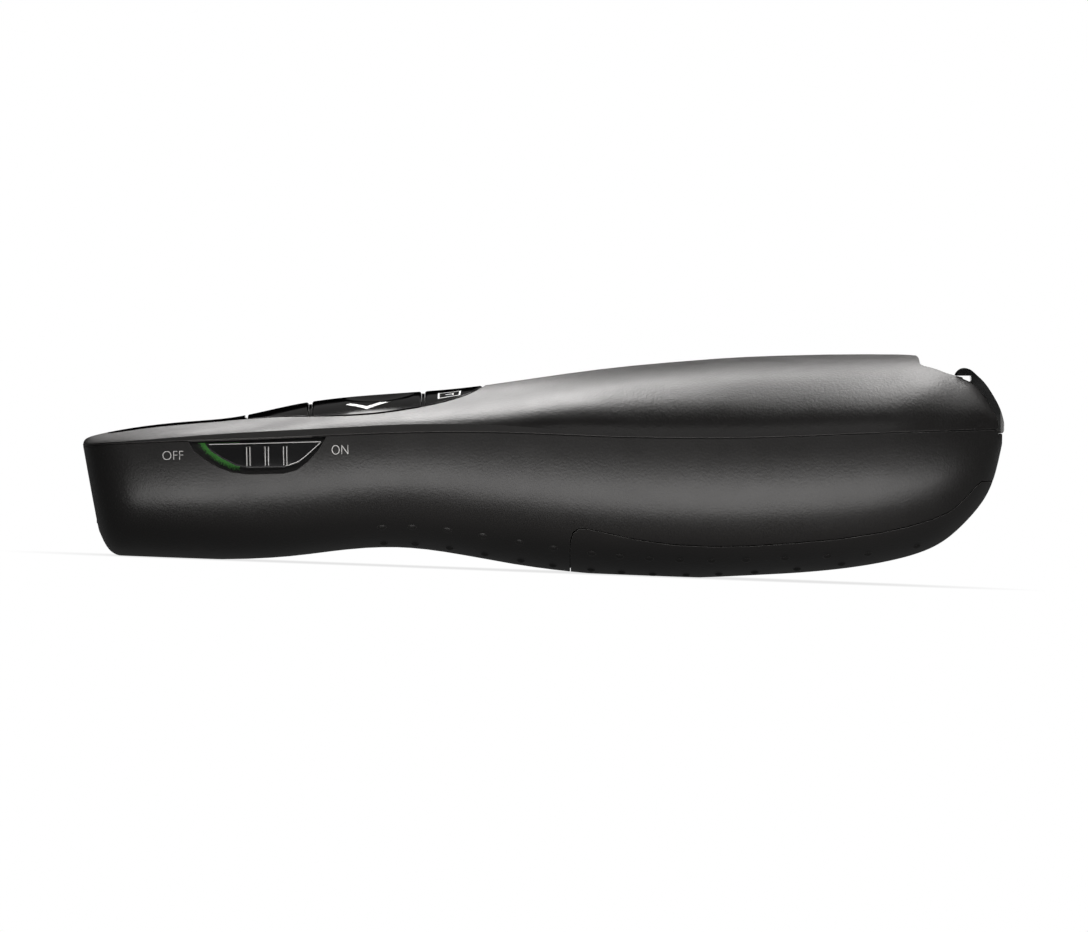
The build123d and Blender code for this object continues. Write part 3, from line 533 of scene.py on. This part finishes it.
# %% [markdown]
# ## Printed marks
# The marks on the clicker are ink on its surface: OFF and ON beside the slider, and line pictures
# on the keys.  They could be painted by a mask in the material, but ink as a very thin piece of its
# own stays crisp at any size, keeps its own finish and moves with its key.  Each mark is drawn flat,
# then every point of it is dropped straight onto the solid below and lifted by about a hundredth
# of a millimetre.

# %% helpers that lay ink on a solid
INK_THICKNESS_MM, LINE_STEP_MM, SHARPEST_CORNER = 0.012, 0.2, 0.4


def dropped(tree, start, direction):
    """Where a straight line from start first meets the surface, lifted by the ink's thickness."""
    spot, normal, _, _ = tree.ray_cast(start, direction)
    if spot is None:
        raise ValueError(f"nothing under {tuple(round(v, 4) for v in start)}")
    if normal.dot(direction) > 0:
        normal = -normal
    return spot + normal * (INK_THICKNESS_MM / 1000)


def lay_side(tree, across, up):
    """Ink on the left side: across and up are the clicker's x and z in millimetres."""
    return dropped(tree, on_clicker(across, -CLEAR_OF_IT_MM, up), Vector((0, 1, 0)))


def lay_top(tree, along, across):
    """Ink on a key's top: along and across are the clicker's x and y in millimetres."""
    return dropped(tree, on_clicker(along, across, CLEAR_OF_IT_MM), -UP_THE_CLICKER)


def outline_strip(points, width_mm, closed):
    """A flat line of even width through the points, as rows of three points with neat corners."""
    steps = list(zip(points, points[1:] + points[:1] if closed else points[1:]))
    fine = []
    for start, end in steps:
        start, end = Vector(start), Vector(end)
        count = max(1, round((end - start).length / LINE_STEP_MM))
        fine += [start.lerp(end, i / count) for i in range(count)]
    if not closed:
        fine.append(Vector(points[-1]))
    rows = []
    for i, here in enumerate(fine):
        before = fine[i - 1] if i > 0 or closed else here * 2 - fine[1]
        after = fine[(i + 1) % len(fine)] if i < len(fine) - 1 or closed else here * 2 - fine[-2]
        in_way, out_way = (here - before).normalized(), (after - here).normalized()
        corner = Vector((-(in_way + out_way).y, (in_way + out_way).x)).normalized()
        reach = width_mm / 2 / max(SHARPEST_CORNER, corner.dot(Vector((-in_way.y, in_way.x))))
        rows.append([here - corner * reach, here, here + corner * reach])
    return rows


def ink_piece(name, points, faces, body, finish):
    """A thin printed mark as a mesh riding on a body."""
    mesh = bpy.data.meshes.new(name)
    mesh.from_pydata(points, [], faces)
    mesh.materials.append(finish)
    mark = put_in_scene(name, mesh)
    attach(mark, body)
    return mark


def print_line(name, points, width_mm, piece_name, body, finish, closed=False, lay=lay_top):
    """A line of even width on a solid piece, laid on from above or from the side."""
    tree = surface_of(piece_name)
    rows = outline_strip(points, width_mm, closed)
    spots = [lay(tree, p.x, p.y) for row in rows for p in row]
    count = len(rows) if closed else len(rows) - 1
    faces = []
    for i in range(count):
        a, b = 3 * i, 3 * ((i + 1) % len(rows))
        faces += [(a, a + 1, b + 1, b), (a + 1, a + 2, b + 2, b + 1)]
    return ink_piece(name, spots, faces, body, finish)


def ink(name, colour):
    """Pad-printing ink: slightly uneven, dull and a little rough at its edges."""
    material, tree, shader = new_finish(name)
    tree.links.new(drifting(tree, colour, 0.4, 0.9, detail=3.0), shader.inputs["Base Color"])
    roughen(tree, shader, noise(tree, 0.2), 0.45, 0.6)
    bump(tree, shader, noise(tree, 0.1), 0.002)
    return material


white_ink = ink("white_ink", (0.86, 0.86, 0.86))
grey_ink = ink("grey_ink", (0.86, 0.85, 0.84))
print("ink mixed")

# %% [markdown]
# ### OFF and ON
# The two words stand beside the slider on the left side.  Blender's own plain letters are turned
# into a mesh, stretched into the box that each word fills, and dropped onto the lower cover.

# %% print the words
LETTER_THINNING = -0.02
side_surface = surface_of("bottom_cover")


def print_word(name, word, left, right, bottom, top):
    """A word filling the given box on the lower cover's left side, in millimetres."""
    letters = bpy.data.curves.new(name + "_letters", "FONT")
    letters.body = word
    letters.resolution_u = 6
    letters.offset = LETTER_THINNING
    holder = put_in_scene(name + "_letters", letters)
    bpy.context.view_layer.update()
    drawn = holder.evaluated_get(bpy.context.evaluated_depsgraph_get())
    flat = bpy.data.meshes.new_from_object(drawn)
    bpy.data.objects.remove(holder)
    xs, ys = [v.co.x for v in flat.vertices], [v.co.y for v in flat.vertices]
    spots = []
    for v in flat.vertices:
        along = left + (right - left) * (v.co.x - min(xs)) / (max(xs) - min(xs))
        up = bottom + (top - bottom) * (v.co.y - min(ys)) / (max(ys) - min(ys))
        spots.append(lay_side(side_surface, along, up))
    faces = [tuple(p.vertices) for p in flat.polygons]
    bpy.data.meshes.remove(flat)
    return ink_piece(name, spots, faces, "housing", grey_ink)


off_word = print_word("print_off", "OFF", 9.97, 12.56, -1.84, -0.73)
on_word = print_word("print_on", "ON", 31.13, 33.19, -1.53, -0.37)
print("words printed:", len(off_word.data.polygons), len(on_word.data.polygons), "faces")

# %% [markdown]
# ### Pictures on the keys
# The two large keys have an arrowhead each, pointing left and right for a hand that holds the nose
# away.  The two small keys have a screen: one is showing, with a play mark, and one is blank.  The
# laser key has a small burst of rays.

# %% print the key pictures
def mirrored(points):
    """The same line on the clicker's other side."""
    return [(x, -y) for x, y in points]


arrow = [(33.2, -8.0), (35.6, -10.3), (38.4, -7.8)]
screen = [(44.6, -5.4), (47.3, -5.0), (47.2, -7.6), (44.6, -8.4)]
play = [(46.4, -6.1), (46.4, -7.1), (45.5, -6.7)]
blank = [(46.7, 5.7), (45.2, 7.7)]
pictures = [("print_previous", arrow, 0.8, "previous_key", False),
            ("print_next", mirrored(arrow), 0.8, "next_key", False),
            ("print_slideshow_frame", screen, 0.2, "slideshow_key", True),
            ("print_slideshow_play", play, 0.15, "slideshow_key", True),
            ("print_blank_frame", mirrored(screen), 0.2, "blank_screen_key", True),
            ("print_blank_line", blank, 0.22, "blank_screen_key", False)]
BURST_MIDDLE, RAYS, RAY_START, RAY_ENDS = 24.6, 8, 0.55, (1.35, 1.0)
for ray in range(RAYS):
    turn = math.tau * ray / RAYS
    ends = [(BURST_MIDDLE + r * math.cos(turn), r * math.sin(turn))
            for r in (RAY_START, RAY_ENDS[ray % 2])]
    pictures.append((f"print_laser_ray_{ray + 1}", ends, 0.2, "laser_key", False))
for name, points, width, key, closed in pictures:
    print_line(name, points, width, key, key + "_body", white_ink, closed=closed)
print("key pictures printed")

# %% [markdown]
# ### Painted highlights on the slider
# The slider's edge and its three ribs carry thin light lines: painted highlights, where a rounded
# edge would catch the light.  A lighter edge in the material would do it on a larger piece, but
# here each edge is less than a tenth of a millimetre wide, so it is laid on as a thin line of its
# own and slides along with the slider.

# %% lay the painted highlight lines on the slider
# Both inks here are painted highlights: bright lines where the slider's edge and ribs catch light,
# faint ones along its front and lower edges.
painted_highlight = ink("painted_highlight_edge", (0.85, 0.84, 0.83))
faint = ink("faint_highlight_edge", (0.035, 0.035, 0.035))
EDGE_WIDTH_MM = 0.08
RIB_PLACES, RIB_HALF_WIDTH, RIB_REACH = (20.7, 23.0, 25.3), 0.2, (-0.42, -2.75)
slider_edges = {
    "slider_edge_top": ([(15.8, 0.0), (22.9, 0.03), (29.8, 0.1)], painted_highlight),
    "slider_edge_rear": ([(29.75, 0.0), (29.15, -0.52), (28.45, -1.14), (27.75, -1.74),
                          (26.95, -2.32), (26.0, -2.66), (25.4, -2.84)], painted_highlight),
    "slider_edge_front": ([(15.85, -0.45), (16.1, -0.75), (17.45, -1.68), (19.1, -2.55),
                           (20.3, -2.84)], faint),
    "slider_edge_low": ([(20.7, -2.9), (25.1, -2.9)], faint)}
for number, middle in enumerate(RIB_PLACES, 1):
    for side, where in ((-1, "front"), (1, "rear")):
        across = middle + side * RIB_HALF_WIDTH
        slider_edges[f"slider_rib_{number}_{where}"] = ([(across, up) for up in RIB_REACH], painted_highlight)
for name, (points, finish) in slider_edges.items():
    print_line(name, points, EDGE_WIDTH_MM, "power_slider", "power_switch", finish, lay=lay_side)
print("slider edges laid")

# %% [markdown]
# ## The studio
# The clicker lies on a white table in front of white.  Black plastic shows mostly what it mirrors,
# so the studio is built around that.  Short lamps hang in an arch over the nose, the middle and the
# tail, to draw the sheen along the upper cover.  Low strips lie on the table in front, to draw the
# band along the lower cover.  Black cloth hangs everywhere else, out of the camera's sight.

# %% the white table and the white surroundings
CONTACT_SHADE, CONTACT_REACH, SHADED, OPEN = 0.22, 0.014, 0.15, 0.95
DULL_SURROUNDINGS = 0.3


def seen_or_mirrored(tree):
    """1 where the camera looks straight, by a mirror or through glass, and 0 otherwise."""
    ray = tree.nodes.new("ShaderNodeLightPath")
    seen = ray.outputs["Is Camera Ray"]
    for other in ("Is Glossy Ray", "Is Transmission Ray"):
        seen = calculate(tree, "MAXIMUM", seen, ray.outputs[other])
    return seen


def studio_finish(name, lit_colour):
    """White to the camera, a little darker close under the clicker, and dull otherwise."""
    material = bpy.data.materials.new(name)
    material.use_nodes = True
    tree = material.node_tree
    tree.nodes.clear()
    dull = tree.nodes.new("ShaderNodeBsdfDiffuse")
    dull.inputs["Color"].default_value = (*lit_colour, 1)
    white = tree.nodes.new("ShaderNodeEmission")
    shade = tree.nodes.new("ShaderNodeAmbientOcclusion")
    shade.samples = 12
    shade.inputs["Distance"].default_value = CONTACT_REACH
    glow = remap(tree, shade.outputs["AO"], 1.0 - CONTACT_SHADE, 1.0, SHADED, OPEN)
    tree.links.new(glow, white.inputs["Strength"])
    choose = tree.nodes.new("ShaderNodeMixShader")
    tree.links.new(seen_or_mirrored(tree), choose.inputs["Fac"])
    tree.links.new(dull.outputs[0], choose.inputs[1])
    tree.links.new(white.outputs[0], choose.inputs[2])
    hole = tree.nodes.new("ShaderNodeBsdfTransparent")
    side = tree.nodes.new("ShaderNodeNewGeometry")
    one_sided = tree.nodes.new("ShaderNodeMixShader")
    tree.links.new(side.outputs["Backfacing"], one_sided.inputs["Fac"])
    tree.links.new(choose.outputs[0], one_sided.inputs[1])
    tree.links.new(hole.outputs[0], one_sided.inputs[2])
    output = tree.nodes.new("ShaderNodeOutputMaterial")
    tree.links.new(one_sided.outputs[0], output.inputs["Surface"])
    return material


def sheet(name, corners, material, seen_by_camera=True):
    """A flat stage piece through four corners, facing the side from which they run anticlockwise."""
    mesh = bpy.data.meshes.new(name)
    mesh.from_pydata(corners, [], [(0, 1, 2, 3)])
    mesh.materials.append(material)
    made = put_in_scene(name, mesh)
    made.visible_camera = seen_by_camera
    made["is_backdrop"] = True
    return made


def level_square(half, height):
    """The corners of a level square that faces up."""
    return [(-half, -half, height), (half, -half, height), (half, half, height), (-half, half, height)]


TABLE_HALF = 1.5
table = sheet("table", level_square(TABLE_HALF, 0), studio_finish("white_table", (0.8, 0.8, 0.8)))
table.visible_glossy = table.visible_diffuse = False
world = bpy.data.worlds.new("white_surroundings")
bpy.context.scene.world = world
world.use_nodes = True
world_tree = world.node_tree
background = world_tree.nodes["Background"]
background.inputs["Color"].default_value = (1, 1, 1, 1)
strength = world_tree.nodes.new("ShaderNodeMapRange")
strength.inputs["To Min"].default_value = DULL_SURROUNDINGS
world_tree.links.new(seen_or_mirrored(world_tree), strength.inputs["Value"])
world_tree.links.new(strength.outputs["Result"], background.inputs["Strength"])
print("table and surroundings are white")

# %% the black cloth and the glowing card
def matt_cloth(name, glow):
    """Cloth that mirrors nothing; given a glow, it shines a little light of its own, like a dim lamp.
    """
    cloth = bpy.data.materials.new(name)
    cloth.use_nodes = True
    shader = cloth.node_tree.nodes["Principled BSDF"]
    shader.inputs["Base Color"].default_value = (0.004, 0.004, 0.004, 1)
    shader.inputs["Roughness"].default_value = 1.0
    shader.inputs["Specular IOR Level"].default_value = 0.0
    shader.inputs["Emission Color"].default_value = (1, 1, 1, 1)
    shader.inputs["Emission Strength"].default_value = glow
    return cloth


# The card under the table glows faintly and gives a dim light from below, in place of light bounced
# off a grey card.
black_cloth, glowing_card = matt_cloth("black_cloth", 0.0), matt_cloth("glowing_card", 0.09)
ROOM, TOP, LOW, UNDER = 0.9, 0.9, 0.02, -0.0006
sheet("card_under", level_square(ROOM, UNDER), glowing_card, seen_by_camera=False)
walls = {
    "cloth_front": [(-ROOM, -ROOM, LOW), (ROOM, -ROOM, LOW), (ROOM, -ROOM, TOP), (-ROOM, -ROOM, TOP)],
    "cloth_back": [(-ROOM, ROOM, LOW), (ROOM, ROOM, LOW), (ROOM, ROOM, TOP), (-ROOM, ROOM, TOP)],
    "cloth_left": [(-ROOM, -ROOM, LOW), (-ROOM, ROOM, LOW), (-ROOM, ROOM, TOP), (-ROOM, -ROOM, TOP)],
    "cloth_right": [(ROOM, -ROOM, LOW), (ROOM, ROOM, LOW), (ROOM, ROOM, TOP), (ROOM, -ROOM, TOP)],
    "cloth_top": level_square(ROOM, TOP)}
for name, corners in walls.items():
    sheet(name, corners, black_cloth, seen_by_camera=False)
print("cloth pieces:", len(walls))

# %% [markdown]
# ### Two sets of lamps
# The satin shell spreads a lamp into a broad sheen and the gloss keys mirror it as a sharp bright
# patch, so no lamp suits both.  One set lights all but the gloss pieces, the other only those.

# %% the lamps
LAMP_COLOUR = (1, 0.985, 0.975)
AXIS_HEIGHT, ARCH_RADIUS, JUST_ABOVE_TABLE = 0.015, 0.16, 0.0006


def lamp(name, place, aim, size, brightness):
    """A rectangular soft lamp, aimed at a point and hidden from the camera."""
    light = bpy.data.lights.new(name, "AREA")
    light.shape = "RECTANGLE"
    light.size, light.size_y = size
    light.energy = math.pi * size[0] * size[1] * brightness
    light.color = LAMP_COLOUR
    made = put_in_scene(name, light)
    made.location = place
    made.rotation_mode = "QUATERNION"
    made.rotation_quaternion = (Vector(aim) - Vector(place)).to_track_quat("-Z", "Y")
    made.visible_camera = False
    return made


def arch_lamp(name, along, length, low_deg, high_deg, brightness, radius=ARCH_RADIUS):
    """A lamp over the long axis between two heights, counted from the camera's side."""
    middle = math.radians((low_deg + high_deg) / 2)
    reach = math.radians((high_deg - low_deg) / 2)
    place = (along, -radius * math.cos(middle), AXIS_HEIGHT + radius * math.sin(middle))
    size = (length, 2 * radius * math.tan(reach))
    return lamp(name, place, (along, 0, AXIS_HEIGHT), size, brightness)


def table_lamp(name, along, length, away, width, brightness):
    """A low strip lamp that lies on the table in front of the clicker and shines up."""
    place, above = (along, -away, JUST_ABOVE_TABLE), (along, -away, 0.1)
    return lamp(name, place, above, (length, width), brightness)


shell_lamps = [
    arch_lamp("nose_top_lamp", -0.034, 0.038, 90, 120, 15.5),
    arch_lamp("nose_rear_lamp", -0.050, 0.04, 160, 170, 1.5),
    arch_lamp("shoulder_lamp", -0.034, 0.046, 138, 150, 6.8, radius=0.11),
    arch_lamp("middle_top_lamp", 0.0, 0.07, 119, 129, 8.4),
    arch_lamp("middle_rear_lamp", 0.0, 0.07, 130, 140, 0.3),
    arch_lamp("tail_front_lamp", 0.075, 0.07, 60, 70, 1.4),
    arch_lamp("tail_top_lamp", 0.075, 0.07, 90, 100, 2.8),
    arch_lamp("tail_middle_lamp", 0.075, 0.07, 100, 120, 6.0),
    arch_lamp("tail_rear_lamp", 0.075, 0.07, 120, 140, 4.5),
    lamp("tail_lamp", (0.154, 0, 0.438), (0, 0, AXIS_HEIGHT), (0.3, 0.22), 4.9),
    lamp("tail_low_lamp", (0.345, 0, 0.304), (0, 0, AXIS_HEIGHT), (0.3, 0.22), 1.24),
    table_lamp("table_lamp_short_near", 0.008, 0.092, 0.023, 0.007, 2.3),
    table_lamp("table_lamp_short_far", 0.008, 0.092, 0.031, 0.008, 2.8),
    table_lamp("table_lamp_long_near", 0.0135, 0.131, 0.023, 0.007, 2.7),
    table_lamp("table_lamp_long_middle", 0.0135, 0.131, 0.030, 0.007, 1.5),
    table_lamp("table_lamp_long_far", 0.0135, 0.131, 0.040, 0.012, 0.9),
    arch_lamp("front_fill", 0.0, 0.9, 10, 20, 1.2, radius=0.5)]
key_lamps = [
    arch_lamp("key_edge_lamp", -0.03, 0.12, 130, 134.5, 4.5),
    arch_lamp("key_nose_lamp", -0.075, 0.07, 90, 120, 1.2),
    arch_lamp("key_middle_lamp", 0.0, 0.07, 120, 131, 1.2),
    arch_lamp("key_wide_lamp", 0.0, 0.3, 90, 160, 0.1, radius=0.3),
    lamp("cap_lamp", (0.16, 0.28, 0.08), (0.055, 0, 0.02), (0.24, 0.16), 0.2)]


def shine_on(lamps, name, objects, state):
    """Let the lamps light only these objects (INCLUDE) or all but these (EXCLUDE)."""
    group = bpy.data.collections.new(name)
    for piece in objects:
        group.objects.link(piece)
    for entry in group.collection_objects:
        entry.light_linking.link_state = state
    for light in lamps:
        light.light_linking.receiver_collection = group


gloss_pieces = [pieces[name] for name in key_names + ["key_bezel", "receiver_end_cap"]] + dividers
shine_on(shell_lamps, "not_on_gloss", gloss_pieces, "EXCLUDE")
shine_on(key_lamps, "only_on_gloss", gloss_pieces, "INCLUDE")

# %% [markdown]
# ## The camera
# The clicker is seen from its left side, almost level, from far away, so that its outline is hardly
# foreshortened.  It is tilted a little in the picture, which only takes a roll of the camera.

# %% place the camera
CAMERA_DISTANCE = 4.5
CAMERA_HEIGHT_DEG = 0.4
CAMERA_ROLL_DEG = 2.181
PICTURE_PIXELS, PIXELS_PER_MM = 1088, 7.97
PICTURE_WIDTH = PICTURE_PIXELS / PIXELS_PER_MM / 1000
SENSOR_MM = 36.0
aim = Vector((0.000136, 0.0, 0.013229))
height = math.radians(CAMERA_HEIGHT_DEG)
roll = math.radians(CAMERA_ROLL_DEG)
backwards = Vector((0, -math.cos(height), math.sin(height)))
level_right = Vector((1, 0, 0))
level_up = Vector((0, math.sin(height), math.cos(height)))
right = level_right * math.cos(roll) + level_up * math.sin(roll)
up = level_up * math.cos(roll) - level_right * math.sin(roll)
lens = bpy.data.cameras.new("camera")
lens.sensor_width = SENSOR_MM
lens.lens = SENSOR_MM * CAMERA_DISTANCE / PICTURE_WIDTH
lens.clip_start, lens.clip_end = 0.1, 20
camera = put_in_scene("camera", lens)
camera.rotation_mode = "QUATERNION"
camera.rotation_quaternion = Matrix((right, up, backwards)).transposed().to_quaternion()
camera.location = aim + backwards * CAMERA_DISTANCE
bpy.context.scene.camera = camera
bpy.context.scene.view_settings.view_transform = "Standard"
print("lens", round(lens.lens, 1), "mm")

# %% [markdown]
# ## Measure
# The dressed clicker must be as large as the solids it is made from, so both boxes are measured and
# how far they differ is printed.

# %% measure how much the dressed clicker grew
shown_box = [list(corner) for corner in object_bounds()]
growth = [round(abs(a - b) * 1000, 3)
          for before, after in zip(cad_box, shown_box) for a, b in zip(before, after)]
print("grown by", growth, "mm")
